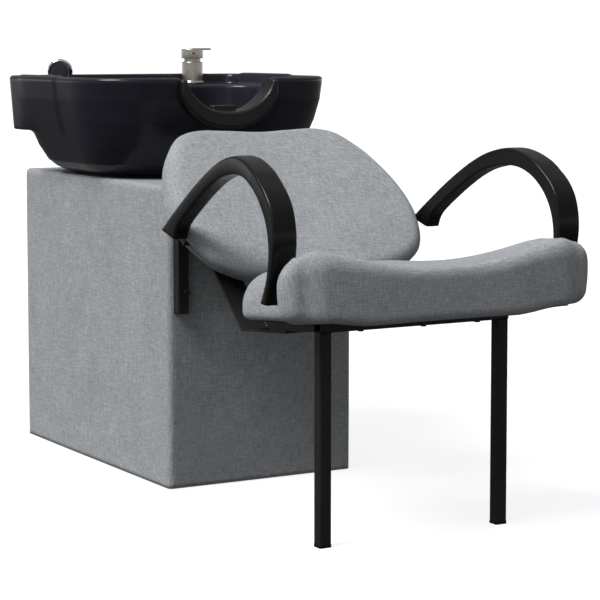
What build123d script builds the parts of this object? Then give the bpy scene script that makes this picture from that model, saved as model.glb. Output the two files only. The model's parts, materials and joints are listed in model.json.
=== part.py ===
from build123d import *
import os
from math import radians, sin, cos, tan, atan, degrees

# Shampoo backwash unit: upholstered cabinet with a moulded basin, and a fixed
# chair carried by two front legs and the cabinet.
# Frame: millimetres, +Z up, origin on the floor under the middle of the whole
# unit.  The sitter faces -Y, the stylist stands at +Y, +X is to the right of
# somebody who looks along +Y.

os.makedirs("parts", exist_ok=True)

# ---------------------------------------------------------------- dimensions
# cabinet
CAB_HX = 196.5          # half width
CAB_Y0 = -15.0          # front face
CAB_Y1 = 655.0          # back edge
CAB_TOP = 568.0         # top face
CAB_R_V = 14.0          # vertical front edges
CAB_R_T = 11.0          # top edges
COVER_T = 4.0           # padded cloth cover
BOARD_T = 16.0          # carcass boards
GLIDE_H = 4.0           # floor glides
# basin
BAS_HX = 270.0
BAS_Y0 = 115.0
BAS_Y1 = 595.0
RIM_Z = 765.0
SKIRT_Z = 655.0
DECK_Z = 743.0
DECK_T = 6.0
WALL_T = 6.0
DRAIN_XY = (0.0, 345.0)
HOSE_XY = (0.0, 506.0)   # passage for the tap's and hand shower's hoses
NOTCH_HALF = 92.0
NOTCH_Z = 690.0
# tap and hand shower on the back deck
TAP_XY = (140.0, 542.0)
TAP_TOP = 820.0
SPRAY_XY = (-172.0, 546.0)
# chair frame
TUBE = 22.0
TUBE_WALL = 1.8
LEG_X = 188.0           # outer face
LEG_Y0 = -554.0         # front face
CROSS_Z = 358.0         # underside of the cross tube
SEAT_SLOPE = 5.0        # the seat falls to the rear
# backrest plane
BACK_TILT = 49.0        # from the vertical
BACK_O = (0.0, 20.0, 655.0)
# seat
SEAT_Y0 = -655.0
# armrests
ARM_OUT = 303.0
ARM_IN = 258.5
# mounting posts on the cabinet front
POST_X = 175.5
POST_W = 23.0
POST_D = 21.0
POST_Z0 = 335.0
POST_BOLT_Z = (372.0, 470.0)
POST_BOLT_X = 170.0


def rounded(z, hx, y0, y1, r_front, r_back):
    """Horizontal section: a rectangle with its own front and back corner radii."""
    with BuildSketch(Plane.XY.offset(z)) as s:
        with Locations((0, (y0 + y1) / 2)):
            Rectangle(2 * hx, y1 - y0)
        fillet(s.vertices().group_by(Axis.Y)[0], r_front)
        fillet(s.vertices().group_by(Axis.Y)[-1], r_back)
    return s.sketch


def finish(builder, label):
    builder.part.label = label
    export_step(builder.part, f"parts/{label}.step")


# ---------------------------------------------------------------- cabinet
# padded cloth cover: two sides, front and top in one piece
with BuildPart() as cabinet_cover:
    with BuildSketch(Plane.XY.offset(GLIDE_H + 1.5)):
        with Locations((0, (CAB_Y0 + CAB_Y1) / 2)):
            Rectangle(2 * CAB_HX, CAB_Y1 - CAB_Y0)
    extrude(amount=CAB_TOP - GLIDE_H - 1.5)
    fillet(cabinet_cover.edges().filter_by(Axis.Z).group_by(Axis.Y)[0], CAB_R_V)
    fillet(cabinet_cover.faces().sort_by(Axis.Z)[-1].edges().filter_by(
        lambda e: e.center().Y < CAB_Y1 - 1), CAB_R_T)
    with BuildSketch(Plane.XY.offset(-10)):
        with Locations((0, (CAB_Y0 + COVER_T + CAB_Y1 + 20) / 2)):
            Rectangle(2 * (CAB_HX - COVER_T), CAB_Y1 + 20 - CAB_Y0 - COVER_T)
    extrude(amount=10 + CAB_TOP - COVER_T, mode=Mode.SUBTRACT)
    with Locations((DRAIN_XY[0], DRAIN_XY[1], CAB_TOP)):
        Cylinder(48, 30, mode=Mode.SUBTRACT)
    with Locations((*HOSE_XY, CAB_TOP)):
        Cylinder(28, 30, mode=Mode.SUBTRACT)
    with Locations(*[(sx * 95, y, CAB_TOP) for sx in (-1, 1) for y in (285, 405)]):
        Cylinder(5, 30, mode=Mode.SUBTRACT)
    with Locations(Plane.XZ.offset(-CAB_Y0)):
        with Locations(*[(sx * POST_BOLT_X, z) for sx in (-1, 1) for z in POST_BOLT_Z]):
            Cylinder(3.1, 20, mode=Mode.SUBTRACT)
finish(cabinet_cover, "cabinet_cover")

BX = CAB_HX - COVER_T
for side, name in ((-1, "cabinet_side_left"), (1, "cabinet_side_right")):
    with BuildPart() as panel:
        with BuildSketch(Plane.XY.offset(GLIDE_H)):
            with Locations((side * (BX - BOARD_T / 2), (CAB_Y0 + COVER_T + BOARD_T + CAB_Y1 - 2) / 2)):
                Rectangle(BOARD_T, CAB_Y1 - 2 - CAB_Y0 - COVER_T - BOARD_T)
        extrude(amount=CAB_TOP - COVER_T - BOARD_T - GLIDE_H)
    finish(panel, name)

with BuildPart() as cabinet_front:
    with BuildSketch(Plane.XY.offset(GLIDE_H)):
        with Locations((0, CAB_Y0 + COVER_T + BOARD_T / 2)):
            Rectangle(2 * BX, BOARD_T)
    extrude(amount=CAB_TOP - COVER_T - BOARD_T - GLIDE_H)
    # holes for the four bolts of the chair's mounting posts
    with Locations(Plane.XZ.offset(-(CAB_Y0 + COVER_T))):
        with Locations(*[(sx * POST_BOLT_X, z) for sx in (-1, 1) for z in POST_BOLT_Z]):
            Cylinder(3.1, 60, mode=Mode.SUBTRACT)
finish(cabinet_front, "cabinet_front")

with BuildPart() as cabinet_top:
    with BuildSketch(Plane.XY.offset(CAB_TOP - COVER_T - BOARD_T)):
        with Locations((0, (CAB_Y0 + COVER_T + CAB_Y1 - 2) / 2)):
            Rectangle(2 * BX, CAB_Y1 - 2 - CAB_Y0 - COVER_T)
        with Locations(DRAIN_XY):
            Circle(48, mode=Mode.SUBTRACT)
        with Locations(HOSE_XY):
            Circle(28, mode=Mode.SUBTRACT)
        with Locations(*[(sx * 95, y) for sx in (-1, 1) for y in (285, 405)]):
            Circle(4.2, mode=Mode.SUBTRACT)
    extrude(amount=BOARD_T)
finish(cabinet_top, "cabinet_top")

# two equal cross rails keep the open back square
with BuildPart() as cabinet_rear_rails:
    for z0 in (GLIDE_H, CAB_TOP - COVER_T - BOARD_T - 75):
        with BuildSketch(Plane.XY.offset(z0)):
            with Locations((0, CAB_Y1 - 2 - 20 - BOARD_T / 2)):
                Rectangle(2 * (BX - BOARD_T), BOARD_T)
        extrude(amount=75)
finish(cabinet_rear_rails, "cabinet_rear_rails")

# floor glides, pressed under the two side panels
with BuildPart() as cabinet_glides:
    with BuildSketch():
        with Locations(*[(sx * (BX - BOARD_T / 2), y) for sx in (-1, 1) for y in (45, 320, 600)]):
            RectangleRounded(BOARD_T - 1, 60, 5)
    extrude(amount=GLIDE_H)
finish(cabinet_glides, "cabinet_glides")

# ---------------------------------------------------------------- basin
with BuildPart() as basin:
    # outer shell: a skirt with a rounded rim over a rounded belly
    loft([rounded(SKIRT_Z, BAS_HX - 6, BAS_Y0 + 14, BAS_Y1 - 6, 122, 32),
          rounded(RIM_Z, BAS_HX, BAS_Y0, BAS_Y1, 130, 36)], ruled=True)
    fillet(basin.faces().sort_by(Axis.Z)[-1].edges(), 9)
    loft([rounded(CAB_TOP, 208, 176, 548, 130, 90),
          rounded(CAB_TOP + 12, 219, 163, 555, 130, 92),
          rounded(CAB_TOP + 40, 230, 148, 560, 130, 92),
          rounded(CAB_TOP + 70, 235, 139, 563, 130, 92),
          rounded(SKIRT_Z + 3, 236, 136, 564, 130, 92)])
    # hollow between the outer shell and the bowl
    loft([rounded(CAB_TOP - 1, 201, 183, 541, 124, 84),
          rounded(CAB_TOP + 12, 213, 169, 549, 124, 86),
          rounded(CAB_TOP + 40, 224, 154, 554, 124, 86),
          rounded(CAB_TOP + 70, 229, 145, 557, 124, 86),
          rounded(SKIRT_Z + 6, 230, 142, 558, 124, 86)], mode=Mode.SUBTRACT)
    loft([rounded(SKIRT_Z + 5, BAS_HX - 11.5, BAS_Y0 + 19.5, BAS_Y1 - 11.5, 116, 26),
          rounded(DECK_Z - DECK_T, BAS_HX - 7.3, BAS_Y0 + 9.3, BAS_Y1 - 7.3, 122, 30)],
         ruled=True, mode=Mode.SUBTRACT)
    # bowl
    loft([rounded(CAB_TOP, 160, 205, 470, 120, 92),
          rounded(CAB_TOP + 22, 203, 169, 491, 124, 94),
          rounded(CAB_TOP + 60, 226, 146, 499, 126, 94),
          rounded(CAB_TOP + 110, 233, 134, 503, 126, 94),
          rounded(DECK_Z - 1, 239, 124, 506, 126, 94)])
    # recess above the deck, inside the raised lip
    loft([rounded(DECK_Z, BAS_HX - 24, BAS_Y0 + 24, BAS_Y1 - 24, 106, 26),
          rounded(RIM_Z + 1, BAS_HX - 18, BAS_Y0 + 18, BAS_Y1 - 18, 112, 30)],
         ruled=True, mode=Mode.SUBTRACT)
    # inside of the bowl
    loft([rounded(CAB_TOP + 10, 150, 222, 462, 116, 90),
          rounded(CAB_TOP + 24, 196, 178, 484, 122, 92),
          rounded(CAB_TOP + 60, 220, 157, 492, 124, 92),
          rounded(CAB_TOP + 110, 228, 148, 496, 124, 92),
          rounded(DECK_Z + 1, 234, 141, 500, 124, 92)], mode=Mode.SUBTRACT)
    # neck notch through the front wall
    with BuildSketch(Plane.XZ.offset(-(BAS_Y0 - 40))):
        with BuildLine():
            l1 = Spline((-NOTCH_HALF - 10, RIM_Z + 5), (-NOTCH_HALF + 8, 738), (-52, 701),
                        (0, NOTCH_Z), (52, 701), (NOTCH_HALF - 8, 738),
                        (NOTCH_HALF + 10, RIM_Z + 5))
            Line(l1 @ 1, l1 @ 0)
        make_face()
    extrude(amount=-130, mode=Mode.SUBTRACT)
    # waste hole, tap hole, hand shower hole, mounting bolt bosses
    with Locations((DRAIN_XY[0], DRAIN_XY[1], CAB_TOP)):
        Cylinder(24, 60, mode=Mode.SUBTRACT)
    with Locations((TAP_XY[0], TAP_XY[1], DECK_Z)):
        Cylinder(15, 40, mode=Mode.SUBTRACT)
    with Locations((SPRAY_XY[0], SPRAY_XY[1], DECK_Z)):
        Cylinder(16, 40, mode=Mode.SUBTRACT)
    with Locations(*[(sx * 95, y, CAB_TOP) for sx in (-1, 1) for y in (285, 405)]):
        Cylinder(4.2, 13, mode=Mode.SUBTRACT)
finish(basin, "basin")

# rubber neck rest that grips the edge of the notch
with BuildPart() as neck_rest:
    with BuildSketch(Plane.XZ.offset(-(BAS_Y0 - 15))):
        with BuildLine():
            a = Spline((-106, 760), (-101, 716), (-58, 677), (0, 665), (58, 677),
                       (101, 716), (106, 760))
            b = Spline((93, 763), (78, 733), (42, 706), (0, 699), (-42, 706),
                       (-78, 733), (-93, 763))
            Line(a @ 1, b @ 0)
            Line(b @ 1, a @ 0)
        make_face()
    extrude(amount=-52)
    # raised pad at the middle of the inner edge
    with BuildSketch(Plane.XZ.offset(-(BAS_Y0 + 15))):
        with Locations((0, 704)):
            RectangleRounded(50, 14, 4)
    extrude(amount=-22)
    add(basin.part, mode=Mode.SUBTRACT)
finish(neck_rest, "neck_rest")

# basin bolts, up through the cabinet top into the basin's floor
with BuildPart() as basin_bolts:
    with Locations(*[(sx * 95, y, 0) for sx in (-1, 1) for y in (285, 405)]):
        with Locations((0, 0, CAB_TOP + 6)):
            Cylinder(4.0, 34, align=(Align.CENTER, Align.CENTER, Align.MAX))
        with Locations((0, 0, CAB_TOP - COVER_T - BOARD_T)):
            Cylinder(11, 2, align=(Align.CENTER, Align.CENTER, Align.MAX))
            Cylinder(7.0, 7, align=(Align.CENTER, Align.CENTER, Align.MAX))
finish(basin_bolts, "basin_bolts")

# ---------------------------------------------------------------- waste
DX, DY = DRAIN_XY
FLOOR_Z = CAB_TOP + 10          # inside of the basin's floor


def turned(name, pts, x=DX, y=DY):
    """A turned piece about a vertical axis from (radius, height) corners."""
    with BuildPart() as t:
        with BuildSketch(Plane.XZ.offset(-y)):
            Polygon(*[(x + r, z) for r, z in pts], align=None)
        revolve(axis=Axis((x, y, 0), (0, 0, 1)))
    finish(t, name)
    return t


waste_flange = turned("waste_flange", [
    (20, FLOOR_Z - 62), (23.6, FLOOR_Z - 62), (23.6, FLOOR_Z), (36, FLOOR_Z), (36, FLOOR_Z + 1.5),
    (33, FLOOR_Z + 3), (26, FLOOR_Z + 1.5), (20, FLOOR_Z - 4)])
strainer = turned("hair_strainer", [
    (0, FLOOR_Z - 12), (12, FLOOR_Z - 12), (19, FLOOR_Z - 3.4), (25.4, FLOOR_Z + 2.4), (25.4, FLOOR_Z + 4),
    (16, FLOOR_Z + 4), (9, FLOOR_Z + 7), (4, FLOOR_Z + 13), (0, FLOOR_Z + 14)])
waste_gasket = turned("waste_gasket", [
    (23.7, CAB_TOP - 4), (38, CAB_TOP - 4), (38, CAB_TOP), (23.7, CAB_TOP)])
waste_locknut = turned("waste_locknut", [
    (23.7, CAB_TOP - 15), (35, CAB_TOP - 15), (35, CAB_TOP - 4), (23.7, CAB_TOP - 4)])
waste_tailpiece = turned("waste_tailpiece", [
    (14, 430), (16, 430), (16, FLOOR_Z - 62 - 10), (27, FLOOR_Z - 62 - 10), (27, FLOOR_Z - 62 + 10),
    (23.6, FLOOR_Z - 62 + 10), (23.6, FLOOR_Z - 62), (14, FLOOR_Z - 62)])
TRAP_TOP = 478.0
TRAP_BOT = 360.0
with BuildPart() as trap_body:
    with Locations((DX, DY, 0)):
        with Locations((0, 0, TRAP_BOT + 26)):
            Cylinder(36, TRAP_TOP - TRAP_BOT - 26, align=(Align.CENTER, Align.CENTER, Align.MIN))
            Cylinder(33.5, TRAP_TOP - TRAP_BOT - 29, align=(Align.CENTER, Align.CENTER, Align.MIN),
                     mode=Mode.SUBTRACT)
        with Locations((0, 0, TRAP_TOP)):
            Cylinder(16.0, 20, mode=Mode.SUBTRACT)
    with Locations(Plane((DX, DY + 34, 440), z_dir=(0, 1, 0))):
        Cylinder(20, 26, align=(Align.CENTER, Align.CENTER, Align.MIN))
        Cylinder(17.2, 60, mode=Mode.SUBTRACT)
finish(trap_body, "trap_body")
trap_cup = turned("trap_cup", [
    (0, TRAP_BOT), (28, TRAP_BOT), (39, TRAP_BOT + 12), (39, TRAP_BOT + 44), (36.1, TRAP_BOT + 44),
    (36.1, TRAP_BOT + 26), (33, TRAP_BOT + 18), (26, TRAP_BOT + 4), (0, TRAP_BOT + 4)])
trap_nut = turned("trap_inlet_nut", [
    (16.1, TRAP_TOP), (25, TRAP_TOP), (25, TRAP_TOP + 14), (16.1, TRAP_TOP + 14)])
PIPE_Y1 = 652.0
with BuildPart() as waste_pipe:
    with BuildSketch(Plane.XZ.offset(-(DY + 62))):
        with Locations((DX, 440)):
            Circle(15)
    extrude(amount=-18)
    with BuildSketch(Plane.XZ.offset(-(DY + 80))):
        with Locations((DX, 440)):
            Circle(16)
    extrude(amount=-(PIPE_Y1 - DY - 80))
    with BuildSketch(Plane.XZ.offset(-(DY + 61))):
        with Locations((DX, 440)):
            Circle(13)
    extrude(amount=-300, mode=Mode.SUBTRACT)
finish(waste_pipe, "waste_pipe")
with BuildPart() as trap_outlet_nut:
    with BuildSketch(Plane.XZ.offset(-(DY + 60))):
        with Locations((DX, 440)):
            RegularPolygon(26, 8)
            Circle(20.1, mode=Mode.SUBTRACT)
    extrude(amount=16, both=False)
    with BuildSketch(Plane.XZ.offset(-(DY + 60))):
        with Locations((DX, 440)):
            RegularPolygon(26, 8)
            Circle(15.1, mode=Mode.SUBTRACT)
    extrude(amount=-8)
finish(trap_outlet_nut, "trap_outlet_nut")

# ---------------------------------------------------------------- tap
TX, TY = TAP_XY
turned("tap_gasket", [(14, DECK_Z), (25, DECK_Z), (25, DECK_Z + 1.5), (14, DECK_Z + 1.5)], TX, TY)
turned("tap_flange", [(22.1, DECK_Z + 1.5), (25.5, DECK_Z + 1.5), (25.5, DECK_Z + 5), (24, DECK_Z + 6.5),
                      (22.1, DECK_Z + 6.5)], TX, TY)
BODY_TOP = 791.0
# body shell with a narrower neck that the cap covers
turned("tap_body", [(17, DECK_Z + 1.5), (22, DECK_Z + 1.5), (22, BODY_TOP - 1), (21, BODY_TOP), (17.5, BODY_TOP),
                    (17.5, BODY_TOP + 8), (6.1, BODY_TOP + 8), (6.1, BODY_TOP + 4), (17, BODY_TOP + 4)], TX, TY)
turned("tap_cartridge", [(0, 752), (16.9, 752), (16.9, BODY_TOP + 3.9), (8, BODY_TOP + 3.9), (8, 786), (0, 786)],
       TX, TY)
PIVOT_Z = 805.0
with BuildPart() as cartridge_stem:
    with Locations((TX, TY, 786.1)):
        Cylinder(6.0, 14, align=(Align.CENTER, Align.CENTER, Align.MIN))
        Cylinder(5.5, 22.4, align=(Align.CENTER, Align.CENTER, Align.MIN))
    with Locations(Plane((TX, TY, PIVOT_Z), z_dir=(0, 1, 0))):
        Cylinder(1.55, 20, mode=Mode.SUBTRACT)
finish(cartridge_stem, "cartridge_stem")
with BuildPart() as lever_pin:
    with Locations(Plane((TX, TY, PIVOT_Z), z_dir=(0, 1, 0))):
        Cylinder(1.5, 18)
finish(lever_pin, "lever_pin")
CAP_BOT = 798.5
with BuildPart() as tap_handle:
    with BuildSketch(Plane.XY.offset(CAP_BOT)):
        with Locations((TX, TY)):
            Circle(23)
    extrude(amount=TAP_TOP - 2 - CAP_BOT)
    fillet(tap_handle.faces().sort_by(Axis.Z)[-1].edges(), 1.5)
    # thin flat lever
    with BuildSketch(Plane.XY.offset(TAP_TOP - 3.6)):
        with Locations((TX + 22, TY)):
            SlotOverall(44, 12)
    extrude(amount=3.6)
    with BuildSketch(Plane.XY.offset(CAP_BOT - 1)):
        with Locations((TX, TY)):
            Circle(21)
    extrude(amount=812 - CAP_BOT + 1, mode=Mode.SUBTRACT)
    # two ears that the lever tilts on
    with Locations((TX, TY - 7.6, 813), (TX, TY + 7.6, 813)):
        Box(8, 2.8, 11.5, align=(Align.CENTER, Align.CENTER, Align.MAX))
    with Locations(Plane((TX, TY, PIVOT_Z), z_dir=(0, 1, 0))):
        Cylinder(1.5, 18, mode=Mode.SUBTRACT)
    # seat of the hot and cold mark
    with Locations(Plane((TX - 23 * sin(radians(20)), TY - 23 * cos(radians(20)), 809),
                         z_dir=(-sin(radians(20)), -cos(radians(20)), 0))):
        Cylinder(3.0, 2.4, mode=Mode.SUBTRACT)
finish(tap_handle, "tap_handle")
with BuildPart() as tap_indicator:
    with Locations(Plane((TX - 21.9 * sin(radians(20)), TY - 21.9 * cos(radians(20)), 809),
                         z_dir=(-sin(radians(20)), -cos(radians(20)), 0))):
        Cylinder(2.95, 1.9, align=(Align.CENTER, Align.CENTER, Align.MIN))
finish(tap_indicator, "tap_indicator")
turned("tap_shank", [(10, 690), (14, 690), (14, DECK_Z), (14, DECK_Z + 1.5), (16.9, DECK_Z + 1.5),
                     (16.9, 751.9), (10, 751.9)], TX, TY)
with BuildPart() as tap_locknut:
    with BuildSketch(Plane.XY.offset(DECK_Z - DECK_T - 13)):
        with Locations((TX, TY)):
            RegularPolygon(21, 6)
            Circle(14.1, mode=Mode.SUBTRACT)
    extrude(amount=10)
    with BuildSketch(Plane.XY.offset(DECK_Z - DECK_T - 3)):
        with Locations((TX, TY)):
            Circle(24)
            Circle(14.1, mode=Mode.SUBTRACT)
    extrude(amount=3)
finish(tap_locknut, "tap_locknut")
# hot, cold and mixed-water tails, screwed up into the shank
with BuildPart() as tap_tails:
    with Locations(*[(TX + 4.6 * cos(radians(k)), TY + 4.6 * sin(radians(k)), 664) for k in (30, 150, 270)]):
        Cylinder(3.9, 60, align=(Align.CENTER, Align.CENTER, Align.MIN))
        Cylinder(2.6, 60, align=(Align.CENTER, Align.CENTER, Align.MIN), mode=Mode.SUBTRACT)
finish(tap_tails, "tap_tails")

# ---------------------------------------------------------------- hand shower
SX, SY = SPRAY_XY
GRIP_R = 12.0
HOLD_R = 12.08
turned("spray_holder", [(HOLD_R, DECK_Z - 30), (15.8, DECK_Z - 30), (15.8, DECK_Z), (19, DECK_Z),
                        (19, DECK_Z + 2), (16.5, DECK_Z + 4.5), (HOLD_R, DECK_Z + 4.5)], SX, SY)
turned("spray_holder_nut", [(15.9, DECK_Z - DECK_T - 9), (22, DECK_Z - DECK_T - 9), (22, DECK_Z - DECK_T),
                            (15.9, DECK_Z - DECK_T)], SX, SY)
HEAD_C = Vector(SX + 1, SY - 8, 777)
HEAD_N = Vector(-0.46, -0.86, -0.22).normalized()
head_plane = Plane(origin=HEAD_C, z_dir=HEAD_N)
with BuildPart() as spray_body:
    with BuildSketch(Plane.XY.offset(682)):
        with Locations((SX, SY)):
            Circle(GRIP_R)
            Circle(8.0, mode=Mode.SUBTRACT)
    extrude(amount=72)
    # neck from the grip into the head
    with BuildSketch(Plane.XY.offset(754)):
        with Locations((SX, SY)):
            Circle(GRIP_R)
    with BuildSketch(Plane.XY.offset(778)):
        with Locations((SX, SY - 2)):
            Circle(17)
    loft()
    with BuildSketch(head_plane.offset(-16)):
        Circle(20)
    with BuildSketch(head_plane.offset(4)):
        Circle(24)
    loft()
    with BuildSketch(head_plane.offset(4)):
        Circle(34)
    extrude(amount=30, mode=Mode.SUBTRACT)
finish(spray_body, "spray_body")
with BuildPart() as spray_ring:
    with BuildSketch(head_plane.offset(4)):
        Circle(25)
        Circle(21.1, mode=Mode.SUBTRACT)
    extrude(amount=6)
finish(spray_ring, "spray_ring")
with BuildPart() as spray_face:
    with BuildSketch(head_plane.offset(4)):
        Circle(21)
    extrude(amount=4.5)
    with Locations(head_plane.offset(8.5)):
        with PolarLocations(16, 18):
            Hole(0.9, depth=3)
        with PolarLocations(11, 12):
            Hole(0.9, depth=3)
        with PolarLocations(6, 6):
            Hole(0.9, depth=3)
        Hole(0.9, depth=3)
finish(spray_face, "spray_face")
turned("spray_hose_nut", [(4.5, 664), (11.8, 664), (11.8, 682), (8.0, 682), (8.0, 694), (4.5, 694)], SX, SY)

# ---------------------------------------------------------------- chair frame
def tube_section(w, d, wall=TUBE_WALL):
    RectangleRounded(w, d, 3)
    RectangleRounded(w - 2 * wall, d - 2 * wall, 1.5, mode=Mode.SUBTRACT)


LX = LEG_X - TUBE / 2
LY = LEG_Y0 + TUBE / 2
for side, name in ((-1, "front_leg_left"), (1, "front_leg_right")):
    with BuildPart() as leg:
        with BuildSketch(Plane.XY.offset(5)):
            with Locations((side * LX, LY)):
                tube_section(TUBE, TUBE)
        extrude(amount=CROSS_Z - 5)
    finish(leg, name)
with BuildPart() as leg_caps:
    with BuildSketch():
        with Locations((-LX, LY), (LX, LY)):
            RectangleRounded(TUBE + 1.0, TUBE + 1.0, 3.4)
    extrude(amount=5)
    with BuildSketch(Plane.XY.offset(5)):
        with Locations((-LX, LY), (LX, LY)):
            RectangleRounded(TUBE - 2 * TUBE_WALL, TUBE - 2 * TUBE_WALL, 1.5)
    extrude(amount=14)
finish(leg_caps, "leg_caps")
with BuildPart() as seat_cross_tube:
    with BuildSketch(Plane.YZ.offset(-LEG_X)):
        with Locations((LY, CROSS_Z + TUBE / 2)):
            tube_section(TUBE, TUBE)
    extrude(amount=2 * LEG_X)

T5 = tan(radians(SEAT_SLOPE))


def under(y):
    """Underside of the sloping side rails."""
    return CROSS_Z + 0.9 - T5 * (y - LY)


RAIL_Y0 = LY + TUBE / 2
RAIL_Y1 = -384.0
for side, name in ((-1, "side_rail_left"), (1, "side_rail_right")):
    with BuildPart() as rail:
        with BuildSketch(Plane.YZ.offset(side * LX - TUBE / 2)):
            Polygon((RAIL_Y0, under(RAIL_Y0)), (RAIL_Y1, under(RAIL_Y1)), (RAIL_Y1 + 24, under(RAIL_Y1 + 24) + 22.1),
                    (RAIL_Y0, under(RAIL_Y0) + 22.1), align=None)
        extrude(amount=TUBE)
        with BuildSketch(Plane.YZ.offset(side * LX - TUBE / 2 + TUBE_WALL)):
            Polygon((RAIL_Y0 - 1, under(RAIL_Y0 - 1) + 1.8), (RAIL_Y1 + 30, under(RAIL_Y1 + 30) + 1.8),
                    (RAIL_Y1 + 30, under(RAIL_Y1 + 30) + 20.3), (RAIL_Y0 - 1, under(RAIL_Y0 - 1) + 20.3), align=None)
        extrude(amount=TUBE - 2 * TUBE_WALL, mode=Mode.SUBTRACT)
    finish(rail, name)
REAR_TUBE_Y = -398.0
with BuildPart() as seat_rear_tube:
    with BuildSketch(Plane.YZ.offset(-(LX - TUBE / 2))):
        with Locations(Location((REAR_TUBE_Y, under(REAR_TUBE_Y) + 11.05, 0), (0, 0, -SEAT_SLOPE))):
            tube_section(TUBE, TUBE)
    extrude(amount=2 * (LX - TUBE / 2))

# ---------------------------------------------------------------- backrest
CT, ST = cos(radians(BACK_TILT)), sin(radians(BACK_TILT))


def bk(v, n):
    """A point of the backrest's middle plane: v down the slope, n towards the sitter."""
    return (BACK_O[1] - ST * v - CT * n, BACK_O[2] - CT * v + ST * n)


back_plane = Plane(origin=BACK_O, x_dir=(1, 0, 0), z_dir=(0, -CT, ST))      # local y runs up the slope
BACK_HALF = [(60, 1), (120, -4), (160, 5), (183, 24), (209, 62), (226, 100), (239, 140), (246, 176), (248.5, 205),
             (247, 238), (241, 268), (230, 300), (212, 328), (180, 352), (140, 370), (70, 384)]
PAD_F, PAD_R, SHELL_R = 38.0, -22.0, -38.0
STRAP_T = 5.0


def back_points(scale_in=0.0):
    """Points of the backrest's outline, drawn inwards by scale_in."""
    k = (248.5 - scale_in) / 248.5
    kv = 1 - scale_in / 195
    half = [(x * k, -192 + (192 - v) * kv) for x, v in BACK_HALF]
    return ([(0, -192 + 186 * kv)] + half + [(0, -192 - 196 * kv)]
            + [(-x, y) for x, y in reversed(half)])


with BuildPart() as backrest_shell:
    with BuildSketch(back_plane.offset(SHELL_R)):
        with BuildLine():
            Spline(*back_points(4.0), periodic=True)
        make_face()
    extrude(amount=PAD_R - SHELL_R)
with BuildPart() as backrest_pad:
    with BuildSketch(back_plane.offset(PAD_R)):
        Polygon(*back_points(0.0), align=None)
    extrude(amount=PAD_F - PAD_R - 20)
    # crowned front
    with BuildSketch(back_plane.offset(PAD_F - 20)):
        Polygon(*back_points(0.0), align=None)
    with BuildSketch(back_plane.offset(PAD_F)):
        Polygon(*back_points(20.0), align=None)
    loft(ruled=True)

# straps: flat bars from under the side rails up the back of the backrest to the posts
STRAP_W = 48.0


def bend(n, drop):
    """Where the backrest's plane at n meets the underside of the rails, drop below it."""
    v = (655 + ST * n - (CROSS_Z + 0.9 - drop) + T5 * (BACK_O[1] - CT * n - LY)) / (CT + T5 * ST)
    return bk(v, n)


STRAP_Y0 = -440.0
straps = []
for side in (-1, 1):
    with BuildPart() as strap:
        with BuildSketch(Plane.YZ.offset(side * (LX - 11) - STRAP_W / 2)):
            Polygon(bk(100, SHELL_R - STRAP_T), bend(SHELL_R - STRAP_T, STRAP_T),
                    (STRAP_Y0, under(STRAP_Y0) - STRAP_T), (STRAP_Y0, under(STRAP_Y0)),
                    bend(SHELL_R, 0), bk(100, SHELL_R), align=None)
        extrude(amount=STRAP_W)
    straps.append(strap)

# posts bolted on the cabinet front, cut to the slope of the straps
for side, name in ((-1, "mounting_post_left"), (1, "mounting_post_right")):
    with BuildPart() as post:
        with BuildSketch(Plane.XY.offset(POST_Z0)):
            with Locations((side * POST_X, CAB_Y0 - POST_D / 2)):
                tube_section(POST_W, POST_D)
        extrude(amount=260)
        with BuildSketch(back_plane.offset(SHELL_R - STRAP_T)):
            Rectangle(800, 1200)
        extrude(amount=400, mode=Mode.SUBTRACT)
        with Locations(Plane.XZ.offset(-CAB_Y0)):
            with Locations(*[(side * POST_BOLT_X, z) for z in POST_BOLT_Z]):
                Cylinder(3.1, 80, mode=Mode.SUBTRACT)
    finish(post, name)
with BuildPart() as post_caps:
    with BuildSketch(Plane.XY.offset(POST_Z0 - 2.5)):
        with Locations(*[(sx * POST_X, CAB_Y0 - POST_D / 2) for sx in (-1, 1)]):
            RectangleRounded(POST_W, POST_D, 3)
    extrude(amount=2.5)
    with BuildSketch(Plane.XY.offset(POST_Z0)):
        with Locations(*[(sx * POST_X, CAB_Y0 - POST_D / 2) for sx in (-1, 1)]):
            RectangleRounded(POST_W - 2 * TUBE_WALL, POST_D - 2 * TUBE_WALL, 1.5)
    extrude(amount=12)
finish(post_caps, "post_caps")
with BuildPart() as post_bolts:
    with Locations(Plane.XZ.offset(-(CAB_Y0 - POST_D))):
        with Locations(*[(sx * POST_BOLT_X, z) for sx in (-1, 1) for z in POST_BOLT_Z]):
            Cylinder(6.0, 4, align=(Align.CENTER, Align.CENTER, Align.MIN))
            Cylinder(3.0, 52, align=(Align.CENTER, Align.CENTER, Align.MAX))
finish(post_bolts, "post_bolts")
with BuildPart() as post_nuts:
    with BuildSketch(Plane.XZ.offset(-(CAB_Y0 + COVER_T + BOARD_T))):
        with Locations(*[(sx * POST_BOLT_X, z) for sx in (-1, 1) for z in POST_BOLT_Z]):
            RegularPolygon(5.8, 6)
            Circle(3.0, mode=Mode.SUBTRACT)
    extrude(amount=-5)
finish(post_nuts, "post_nuts")

# ---------------------------------------------------------------- seat
S5, C5 = sin(radians(SEAT_SLOPE)), cos(radians(SEAT_SLOPE))
seat_plane = Plane(origin=(0, LY, CROSS_Z + TUBE + 1.0), x_dir=(1, 0, 0), z_dir=(0, S5, C5))


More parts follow.
